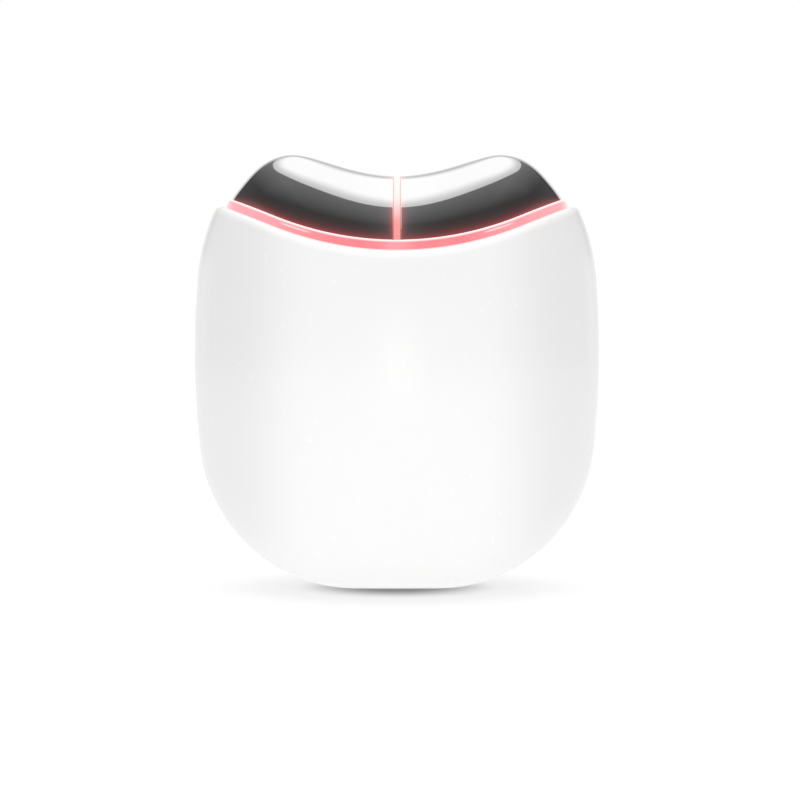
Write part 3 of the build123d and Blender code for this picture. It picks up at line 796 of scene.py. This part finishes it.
@dataclass(frozen=True)
class Sintered(Finish):
    """Pressed and fired powder with tiny pits."""

    tint: Pattern = Pattern(Texture.CLOUDS, 300.0, 4.0)
    wear: Pattern = Pattern(Texture.CELLS, 1800.0)
    factors: Span = (0.7692, 1.2308)
    relief: Pattern = wear
    depth: float = 0.02
    tone: float = 1.5


@dataclass(frozen=True)
class CrinkledFoil(Finish):
    """Laminated pouch foil with soft crinkles."""

    tint: Pattern = Pattern(Texture.CLOUDS, 160.0, 5.0)
    wear: Pattern = tint
    factors: Span = (0.7143, 1.2857)
    relief: Pattern = tint
    depth: float = 0.15
    strength: float = 0.35
    tone: float = 0.85
    metal: float = 0.85


@dataclass(frozen=True)
class CellFoam(Finish):
    """Closed-cell foam tape."""

    tint: Pattern = Pattern(Texture.CELLS, 2600.0)
    wear: Pattern = tint
    factors: Span = (0.8889, 1.1111)
    relief: Pattern = tint
    depth: float = 0.05
    strength: float = 0.6
    tone: float = 0.7


TURNED = Pattern(Texture.CLOUDS, 2400.0, 4.0, (1.0, 1.0, 0.2))
DRAWN = Pattern(Texture.CLOUDS, 2400.0, 4.0, (1.0, 1.0, 0.1))


class FinishShelf:
    """The finishes by the name of their slot, each made once."""

    finishes: tuple[Finish, ...] = (
        LitCasing("white_casing", (0.93, 0.93, 0.927), 0.22),
        PolishedMetal("polished_metal", (0.94, 0.94, 0.945), 0.04),
        GlowingGuide("light_guide", (0.25, 0.1, 0.1), 0.4),
        GlossPlastic("button_plastic", (0.79, 0.79, 0.8), 0.34, coat=0.1, depth=0.03),
        FrostedLens("light_pipe", (0.66, 0.52, 0.52), 0.4),
        SatinPlastic("black_plastic", (0.02, 0.02, 0.022), 0.5),
        SatinPlastic("grey_plastic", (0.3, 0.31, 0.32), 0.55),
        SatinPlastic("cream_plastic", (0.8, 0.76, 0.62), 0.5),
        FrostedLens("led_white", (0.95, 0.9, 0.75), 0.4, light=(1.0, 0.7, 0.7), power=0.3),
        SoftRubber("seal_rubber", (0.1, 0.1, 0.11), 0.7),
        BoardLacquer("circuit_board", (0.01, 0.09, 0.04), 0.35),
        FlexFilm("flex_amber", (0.62, 0.33, 0.08), 0.3),
        Sintered("ferrite", (0.05, 0.05, 0.055), 0.65),
        BareMetal("capacitor_can", (0.7, 0.71, 0.73), 0.35),
        BareMetal("screw_steel", (0.55, 0.55, 0.56), 0.35, wear=TURNED, relief=TURNED),
        BareMetal("socket_steel", (0.62, 0.62, 0.63), 0.3, wear=DRAWN, relief=DRAWN),
        CrinkledFoil("battery_foil", (0.72, 0.73, 0.75), 0.35),
        CellFoam("foam_tape", (0.7, 0.7, 0.68), 0.9),
        SatinPlastic("lead_red", (0.5, 0.02, 0.02), 0.45, relief=Pattern(Texture.CELLS, 900.0), depth=0.006),
    )

    def __init__(self) -> None:
        """Builds every material."""
        self.materials = {finish.name: finish.material() for finish in self.finishes}

    def dress(self, piece: bpy.types.Object, slot: str) -> None:
        """Puts a finish on all of a piece.

        Args:
            piece: The object.
            slot: The name of the finish's slot.
        """
        if not piece.material_slots:
            piece.data.materials.append(self.materials[slot])
        for holder in piece.material_slots:
            holder.material = self.materials[slot]


# ---------------------------------------------------------------- mesh helpers
def grid_faces(rows: int, columns: int) -> list[tuple[int, int, int, int]]:
    """Quads of a grid of points.

    Args:
        rows: The number of rows of points.
        columns: The number of points in a row.

    Returns:
        The corners of each quad.
    """
    faces = []
    for row in range(rows - 1):
        for column in range(columns - 1):
            first = row * columns + column
            faces.append((first, first + 1, first + columns + 1, first + columns))
    return faces


def mesh_object(name: str, points: Sequence[Point], faces: Sequence[Sequence[int]]) -> bpy.types.Object:
    """Makes a smooth mesh object at the origin.

    Args:
        name: The object's name.
        points: Its points, in millimetres.
        faces: The corners of each face.

    Returns:
        The object, linked to the scene.
    """
    mesh = bpy.data.meshes.new(name)
    mesh.from_pydata([tuple(part * MM for part in point) for point in points], [], faces)
    mesh.shade_smooth()
    made = bpy.data.objects.new(name, mesh)
    bpy.context.scene.collection.objects.link(made)
    return made


def settled(piece: bpy.types.Object) -> None:
    """Applies a piece's modifiers, so that its mesh is plain.

    Args:
        piece: The object.
    """
    bpy.context.view_layer.update()
    graph = bpy.context.evaluated_depsgraph_get()
    plain = bpy.data.meshes.new_from_object(piece.evaluated_get(graph))
    piece.modifiers.clear()
    piece.data = plain
    plain.name = piece.name


def rounded(piece: bpy.types.Object, width: float, segments: int, angle: float) -> None:
    """Rounds a piece's edges.

    Args:
        piece: The object.
        width: How far the rounding reaches from an edge, in millimetres.
        segments: Its number of steps.
        angle: Edges that turn by less than this many degrees stay as they are.
    """
    edge = piece.modifiers.new("edge", "BEVEL")
    edge.width = width * MM
    edge.segments = segments
    edge.limit_method = "ANGLE"
    edge.angle_limit = math.radians(angle)
    edge.harden_normals = True


def last_before(low: float, high: float, before: Callable[[float], bool]) -> float:
    """Finds the place in a range up to which a condition holds.

    Args:
        low: The range's start, where it holds.
        high: The range's end, where it doesn't.
        before: The condition.

    Returns:
        The place.
    """
    for _ in range(HALVINGS):
        middle = (low + high) / 2
        low, high = (middle, high) if before(middle) else (low, middle)
    return low


# ---------------------------------------------------------------- head
@dataclass
class Ridge:
    """The line along the top of the head, as a smooth curve through its stations."""

    half_length: float
    low_point: float
    shape: tuple[Span, ...] = (
        (0.0, 14.9), (0.278, 16.35), (0.46, 18.2), (0.585, 18.99), (0.735, 17.6), (0.866, 13.5),
        (0.956, 8.9), (0.991, 5.0), (1.0, 2.0))
    passes: int = 60

    def __post_init__(self) -> None:
        """Finds the curve's slope at each station, so that its bend has no steps."""
        points = [Vector((share * self.half_length, self.low_point + rise)) for share, rise in self.shape]
        spans = [(b - a).length for a, b in zip(points, points[1:])]
        slopes = [Vector((1.0, 0.0))] + [Vector((0.0, 0.0)) for _ in points[2:]] + [Vector((0.0, -1.0))]
        for _ in range(self.passes):
            for i in range(1, len(points) - 1):
                before, after = spans[i - 1], spans[i]
                pull = 3 * ((points[i] - points[i - 1]) * after / before
                            + (points[i + 1] - points[i]) * before / after)
                slopes[i] = (pull - slopes[i - 1] * after - slopes[i + 1] * before) / (2 * (before + after))
        self.points, self.spans, self.slopes = points, spans, slopes

    def height(self, x: float) -> float:
        """Height of the ridge.

        Args:
            x: The distance from the middle, in millimetres.

        Returns:
            The height, in millimetres.
        """
        last = len(self.spans) - 1
        i = next(i for i in range(last + 1) if x <= self.points[i + 1].x or i == last)
        return self._at(i, last_before(0.0, 1.0, lambda share: self._at(i, share).x < x)).y

    def _at(self, i: int, share: float) -> Vector:
        """A point of a span.

        Args:
            i: The span's number.
            share: The place on it, from 0 to 1.

        Returns:
            The point.
        """
        square, cube = share**2, share**3
        return ((2 * cube - 3 * square + 1) * self.points[i]
                + (cube - 2 * square + share) * self.spans[i] * self.slopes[i]
                + (3 * square - 2 * cube) * self.points[i + 1]
                + (cube - square) * self.spans[i] * self.slopes[i + 1])


@dataclass(frozen=True)
class Fade:
    """A painted light's share on a surface, which fades with the distance, in millimetres."""

    share: float
    reach: float

    def at(self, distance: float) -> float:
        """The share at a distance."""
        return self.share * math.exp(-distance / self.reach)


@dataclass
class Head:
    """The two polished electrodes on each side of the light bar."""

    half_length: float = 34.2
    half_depth: float = 13.704
    edge: Saddle = Saddle()
    pole_rise: float = 2.0
    fullness: float = 2.2
    foot: float = 2.05
    inner_edge: float = 0.825
    wall: float = 1.6
    edge_round: float = 0.1
    edge_steps: int = 3
    sharpest: float = 50.0
    columns: int = 97
    rows: int = 65
    tip_search: float = 0.8
    tip_gap: float = 0.002
    # painted light on the metal: the guide's red glow and the bar's pale sheen, fading with the distance
    ring_painted_glow: Fade = Fade(0.58, 0.66)
    bar_painted_glow: Fade = Fade(0.6, 0.5)
    bar_painted_sheen: Fade = Fade(1.0, 2.5)

    def __post_init__(self) -> None:
        """Makes the ridge."""
        self.ridge = Ridge(self.half_length, self.edge.low_point)

    def lower_edge(self, x: float) -> float:
        """Height of the electrodes' lower edge.

        Args:
            x: The distance from the middle, in millimetres.

        Returns:
            The height, in millimetres.
        """
        radius = self.edge.radius - self.foot
        lean = math.radians(self.edge.angle)
        bend = min(x, radius * math.sin(lean))
        return (self.edge.low_point + self.edge.radius - math.sqrt(radius**2 - bend**2)
                + (x - bend) * math.tan(lean))

    def tip(self) -> float:
        """Distance from the middle at which the ridge meets the lower edge."""
        return last_before(self.tip_search * self.half_length, self.half_length,
                           lambda x: self.ridge.height(x) > self.lower_edge(x))

    def shell(self, name: str, side: Side) -> bpy.types.Object:
        """One electrode as a thin shell.

        Args:
            name: The object's name.
            side: The side that it is on.

        Returns:
            The object, with the attributes glow, the light guide's red light painted on the metal, and sheen,
            the bar's pale light painted on the metal.
        """
        points, glow, sheen = [], [], []
        reach = self.tip() - self.tip_gap
        for column in range(self.columns):
            share = math.sin(math.pi / 2 * column / (self.columns - 1))
            x = self.inner_edge + (reach - self.inner_edge) * share
            along = x / self.half_length
            depth = self.half_depth * (1 - along**self.fullness) ** (1 / self.fullness)
            middle = self.edge.low_point + self.pole_rise * along**2
            rise = self.ridge.height(x) - middle
            first = math.asin(min(1.0, (self.lower_edge(x) - middle) / rise))
            for row in range(self.rows):
                angle = first + (math.pi - 2 * first) * row / (self.rows - 1)
                points.append((side.value * x, -depth * math.cos(angle), middle + rise * math.sin(angle)))
                # the painted glow and sheen of each point
                above = min(angle - first, math.pi - first - angle) * (depth + rise) / 2
                glow.append(max(self.ring_painted_glow.at(above), self.bar_painted_glow.at(x - self.inner_edge)))
                sheen.append(self.bar_painted_sheen.at(x - self.inner_edge))
        faces = grid_faces(self.columns, self.rows)
        if side is Side.RIGHT:
            faces = [tuple(reversed(face)) for face in faces]
        made = mesh_object(name, points, faces)
        for title, values in (("glow", glow), ("sheen", sheen)):
            made.data.attributes.new(title, "FLOAT", "POINT").data.foreach_set("value", values)
        wall = made.modifiers.new("wall", "SOLIDIFY")
        wall.thickness = self.wall * MM
        wall.offset = -1.0
        wall.use_even_offset = True
        rounded(made, self.edge_round, self.edge_steps, self.sharpest)
        settled(made)
        return made

    def build(self, shelf: FinishShelf) -> list[bpy.types.Object]:
        """Builds and dresses both electrodes.

        Args:
            shelf: The finishes.

        Returns:
            The two pieces.
        """
        pieces = []
        for side, node in ((Side.RIGHT, "electrode_right"), (Side.LEFT, "electrode_left")):
            piece = self.shell(node.replace("electrode", "electrode_cap"), side)
            shelf.dress(piece, "polished_metal")
            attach(piece, Body.HOUSING.value)
            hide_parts(node)
            pieces.append(piece)
        return pieces


# ---------------------------------------------------------------- charging socket
@dataclass
class ChargingContacts:
    """The two rows of contacts on the tongue of the charging socket."""

    count: int = 12
    pitch: float = 0.5
    width: float = 0.27
    length: float = 3.2
    thickness: float = 0.04
    blade_thickness: float = 0.7
    end_land: float = 0.5
    edge_round: float = 0.012
    edge_steps: int = 2
    sharpest: float = 30.0

    def tree(self, low: float, finish: bpy.types.Material) -> ShapeGraph:
        """Makes the tree that repeats a contact along both faces of the tongue.

        Args:
            low: Height of the contacts' lower ends, in metres.
            finish: Their material.

        Returns:
            The tree.
        """
        graph = ShapeGraph("contact_rows")
        count = graph.size("Contacts in a row", "Int", self.count)
        pitch = graph.size("Pitch", "Float", self.pitch * MM)
        width = graph.size("Width", "Float", self.width * MM)
        length = graph.size("Length", "Float", self.length * MM)
        thickness = graph.size("Thickness", "Float", self.thickness * MM)
        face = graph.size("Tongue thickness", "Float", self.blade_thickness * MM)
        foot = graph.size("Lower end", "Float", low)
        material = graph.size("Finish", "Material", finish)
        contact = graph.node("GeometryNodeMeshCube")
        graph.feed(contact.inputs["Size"], graph.point(width, thickness, length))
        spaces = graph.math(Blend.SUBTRACT, count, 1.0)
        first = graph.math(Blend.MULTIPLY, graph.math(Blend.MULTIPLY, spaces, pitch), -0.5)
        middle = graph.math(Blend.ADD, foot, graph.math(Blend.MULTIPLY, length, 0.5))
        rows = graph.node("GeometryNodeJoinGeometry")
        for side in (-0.5, 0.5):
            line = graph.node("GeometryNodeMeshLine")
            start = graph.point(first, graph.math(Blend.MULTIPLY, face, side), middle)
            graph.feeds(line, {"Count": count, "Start Location": start, "Offset": graph.point(pitch)})
            placed = graph.node("GeometryNodeInstanceOnPoints")
            graph.feeds(placed, {"Points": line.outputs[0], "Instance": contact.outputs[0]})
            graph.feed(rows.inputs[0], placed.outputs[0])
        graph.finish(rows.outputs[0], material)
        return graph

    def build(self, shelf: FinishShelf) -> list[bpy.types.Object]:
        """Builds and dresses the contacts.

        Args:
            shelf: The finishes.

        Returns:
            The piece.
        """
        low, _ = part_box("usb_tongue")
        piece = mesh_object("socket_contacts", [], [])
        self.tree(low[2] + self.end_land * MM, shelf.materials["socket_steel"]).apply(piece)
        rounded(piece, self.edge_round, self.edge_steps, self.sharpest)
        settled(piece)
        shelf.dress(piece, "socket_steel")
        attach(piece, Body.HOUSING.value)
        return [piece]


# ---------------------------------------------------------------- solids that stay
@dataclass
class Solids:
    """The solids that keep their shape and only get a finish."""

    def build(self, frame: dict, shelf: FinishShelf) -> list[bpy.types.Object]:
        """Dresses each solid in the finish of its slot.

        Args:
            shelf: The finishes.

        Returns:
            The dressed solids.
        """
        dressed = []
        for node in sorted(frame["nodes"]):
            piece = frame["nodes"][node]
            slot = piece.material_slots[0].material.name.split(".")[0]
            shelf.dress(piece, slot)
            dressed.append(piece)
        return dressed


# ---------------------------------------------------------------- studio
@dataclass
class Studio:
    """The camera, the soft light, the pale floor and what the polished metal mirrors.

    The mirrored room is a matter of directions: ahead is how far one points behind the device and aside how
    far it points to the side, both per unit of its rise.
    """

    camera_distance: float = 700.0
    camera_x: float = 0.58
    camera_height: float = 36.0
    framed_width: float = 154.47
    sensor: float = 36.0
    clip: Span = (10.0, 100000.0)
    box_middle: float = 0.3
    box_near: float = 0.75
    box_far: float = 1.4
    box_side: float = 0.49
    box_light: Slope = Slope(1.06, 0.62, 0.48, 0.95, True)
    box_border: Slope = Slope(1.0, 0.0, 0.965, 1.02, True)
    room_front: Slope = Slope(0.042, 0.15, -1.35, -0.42)
    room_back: Slope = Slope(0.0, 0.05, -0.3, 0.7)
    room_side: Slope = Slope(1.0, 0.3, 0.4, 1.05)
    low_side: Slope = Slope(0.0, 0.8, 2.5, 7.0, True)
    low_back: Slope = Slope(0.0, 1.0, -0.5, 0.1, True)
    dim_side: Slope = Slope(0.042, 0.095, 1.2, 1.8, True)
    wall_lean: float = 0.8
    wall_edge: Slope = Slope(0.0, 1.0, 0.65, 1.1, True)
    wall_light: Slope = Slope(0.52, 0.9, 1.3, 4.5)
    flattest: float = 0.001
    sky: Slope = Slope(0.66, 1.02, 0.0, 1.0)
    lamp_power: float = 0.0089
    lamp_size: Span = (48.0, 400.0)
    lamp_spread: float = 9.5
    lamp_place: Point = (0.0, -140.0, 40.0)
    floor_size: float = 6000.0
    floor_drop: float = 0.02
    floor_colour: Colour = (0.3, 0.3, 0.3)
    floor_light: float = 0.745
    # painted shadow: round the device's foot the floor's glow fades for the camera
    contact_half: Span = (17.0, 36.0)
    near_shadow: Slope = Slope(0.82, 0.0, 0.35, 1.2, True)
    far_shadow: Slope = Slope(0.18, 0.0, 0.9, 2.35, True)

    def faced(self, made: bpy.types.Object, place: Point) -> bpy.types.Object:
        """Links a camera or lamp, which looks along +Y.

        Args:
            made: The object.
            place: Its place, in millimetres.

        Returns:
            The object.
        """
        bpy.context.scene.collection.objects.link(made)
        made.location = Vector(place) * MM
        made.rotation_euler = (math.pi / 2, 0.0, 0.0)
        return made

    def camera(self) -> bpy.types.Object:
        """Makes the camera, level with the middle of the device.

        Returns:
            The camera.
        """
        data = bpy.data.cameras.new("studio_camera")
        data.sensor_width = self.sensor
        data.lens = self.sensor * self.camera_distance / self.framed_width
        data.clip_start, data.clip_end = (distance * MM for distance in self.clip)
        place = (self.camera_x, -self.camera_distance, self.camera_height)
        made = self.faced(bpy.data.objects.new("studio_camera", data), place)
        bpy.context.scene.camera = made
        return made

    def softbox(self, graph: Graph, ahead: object, aside: object) -> bpy.types.NodeSocket:
        """The oval softbox over the device, brightest in its middle.

        Args:
            graph: The world's node tree.
            ahead: The direction's ahead.
            aside: The direction's aside.

        Returns:
            The softbox's light.
        """
        past = graph.math(Blend.SUBTRACT, ahead, self.box_middle)
        along = graph.math(Blend.LARGER, graph.math(Blend.MULTIPLY, past, -1 / self.box_near),
                           graph.math(Blend.MULTIPLY, past, 1 / self.box_far))
        reach = graph.length(along, graph.math(Blend.MULTIPLY, aside, 1 / self.box_side))
        return graph.math(Blend.MULTIPLY, self.box_light.of(graph, reach), self.box_border.of(graph, reach))

    def screen(self, graph: Graph, ahead: object, aside: object, back: object) -> bpy.types.NodeSocket:
        """The dark room in front of the device, darker towards the floor, and pale low at the sides.

        Args:
            graph: The world's node tree.
            ahead: The direction's ahead.
            aside: The direction's aside.
            back: How far the direction points backwards.

        Returns:
            The room's light.
        """
        depth = graph.math(Blend.ADD, self.room_front.of(graph, ahead), self.room_back.of(graph, ahead))
        room = graph.math(Blend.MULTIPLY, depth, self.room_side.of(graph, aside))
        low = graph.math(Blend.MULTIPLY, self.low_side.of(graph, aside), self.low_back.of(graph, back))
        return graph.joined(Blend.LARGER, room, low, self.dim_side.of(graph, aside))

    def wall(self, graph: Graph, ahead: object, aside: object) -> bpy.types.NodeSocket:
        """The pale wall behind the device, seen in the metal's upper edge.

        Args:
            graph: The world's node tree.
            ahead: The direction's ahead.
            aside: The direction's aside.

        Returns:
            The wall's light.
        """
        low = graph.math(Blend.SUBTRACT, ahead, graph.math(Blend.MULTIPLY, aside, self.wall_lean))
        return graph.math(Blend.MULTIPLY, self.wall_edge.of(graph, low), self.wall_light.of(graph, ahead))

    def world(self) -> None:
        """Makes the surroundings: white to the eye, soft light, and a softbox in a dark room in the metal."""
        made = bpy.data.worlds.new("studio")
        bpy.context.scene.world = made
        made.use_nodes = True
        graph = Graph(made.node_tree)
        x, y, z = graph.axes(graph.node("ShaderNodeTexCoord").outputs["Generated"])
        rise = graph.math(Blend.LARGER, z, self.flattest)
        ahead = graph.math(Blend.DIVIDE, y, rise)
        aside = graph.math(Blend.SIZE, graph.math(Blend.DIVIDE, x, rise))
        mirrored = graph.joined(Blend.LARGER, self.softbox(graph, ahead, aside),
                                self.screen(graph, ahead, aside, y), self.wall(graph, ahead, aside))
        rays = graph.node("ShaderNodeLightPath").outputs
        seen = graph.math(Blend.LARGER, rays["Is Camera Ray"], rays["Is Transmission Ray"])
        light = graph.mix(rays["Is Glossy Ray"], self.sky.of(graph, z), mirrored)
        shader = graph.node("ShaderNodeBackground")
        graph.feeds(shader, {"Color": graph.mix(seen, light, WHITE)})
        graph.feeds(graph.node("ShaderNodeOutputWorld"), {"Surface": shader.outputs["Background"]})

    def lamp(self) -> bpy.types.Object:
        """Makes the tall front lamp, which lights the middle of the casing a little more than its sides.

        Returns:
            The lamp.
        """
        data = bpy.data.lights.new("front_strip", "AREA")
        data.shape = "RECTANGLE"
        data.size, data.size_y = (length * MM for length in self.lamp_size)
        data.spread = math.radians(self.lamp_spread)
        data.energy = self.lamp_power
        made = self.faced(bpy.data.objects.new("front_strip", data), self.lamp_place)
        made.visible_camera = False
        made.visible_glossy = False
        return made

    def floor_paint(self) -> bpy.types.Material:
        """Makes the floor's material, which glows a little; round the device's foot its glow fades for the
        camera, a painted shadow over the real one.

        Returns:
            The material.
        """
        made = bpy.data.materials.new("floor_paint")
        made.use_nodes = True
        graph = Graph(made.node_tree)
        parts = [graph.math(Blend.MULTIPLY, axis, 1 / (half * MM))
                 for axis, half in zip(graph.axes(graph.place()), self.contact_half)]
        reach = graph.length(*parts)
        contact = graph.math(Blend.ADD, self.near_shadow.of(graph, reach), self.far_shadow.of(graph, reach))
        # painted shadow: for camera rays the glow is taken away round the device's foot
        seen = graph.node("ShaderNodeLightPath").outputs["Is Camera Ray"]
        painted_shadow = graph.math(Blend.MULTIPLY, contact, seen)
        paint = graph.node("ShaderNodeBsdfDiffuse")
        graph.feeds(paint, {"Color": self.floor_colour})
        glow = graph.node("ShaderNodeEmission")
        graph.feeds(glow, {"Strength": graph.between(painted_shadow, self.floor_light, 0.0)})
        both = graph.node("ShaderNodeAddShader")
        for socket, shader in zip(both.inputs, (paint, glow)):
            graph.feed(socket, shader.outputs[0])
        graph.feeds(graph.node("ShaderNodeOutputMaterial"), {"Surface": both.outputs["Shader"]})
        return made

    def floor(self) -> bpy.types.Object:
        """Makes the floor, a pale table.

        Returns:
            The floor.
        """
        half = self.floor_size / 2
        corners = [(-half, -half), (half, -half), (half, half), (-half, half)]
        piece = mesh_object("studio_floor", [(x, y, -self.floor_drop) for x, y in corners], [(0, 1, 2, 3)])
        piece.data.materials.append(self.floor_paint())
        return piece

    def build(self) -> list[bpy.types.Object]:
        """Builds the whole studio.

        Returns:
            Its objects.
        """
        bpy.context.scene.view_settings.view_transform = "Standard"
        self.world()
        return [self.camera(), self.lamp(), self.floor()]


# ---------------------------------------------------------------- the whole device
def clear_scene() -> None:
    """Removes the objects that a new file starts with."""
    for thing in list(bpy.data.objects):
        bpy.data.objects.remove(thing)


def report(title: str, pieces: Sequence[bpy.types.Object]) -> None:
    """Logs what a class has made.

    Args:
        title: The sub-assembly's name.
        pieces: Its objects.
    """
    for piece in pieces:
        faces = len(piece.data.polygons) if piece.type == "MESH" else 0
        LOG.info("%s: %s, %d faces", title, piece.name, faces)


def main() -> None:
    """Builds the device's looks and the studio round it."""
    logging.basicConfig(level=logging.INFO, format="%(name)s %(message)s")
    clear_scene()
    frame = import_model()
    report("studio", Studio().build())
    shelf = FinishShelf()
    report("solids", Solids().build(frame, shelf))
    report("head", Head().build(shelf))
    report("charging socket", ChargingContacts().build(shelf))


if __name__ == "__main__":
    main()
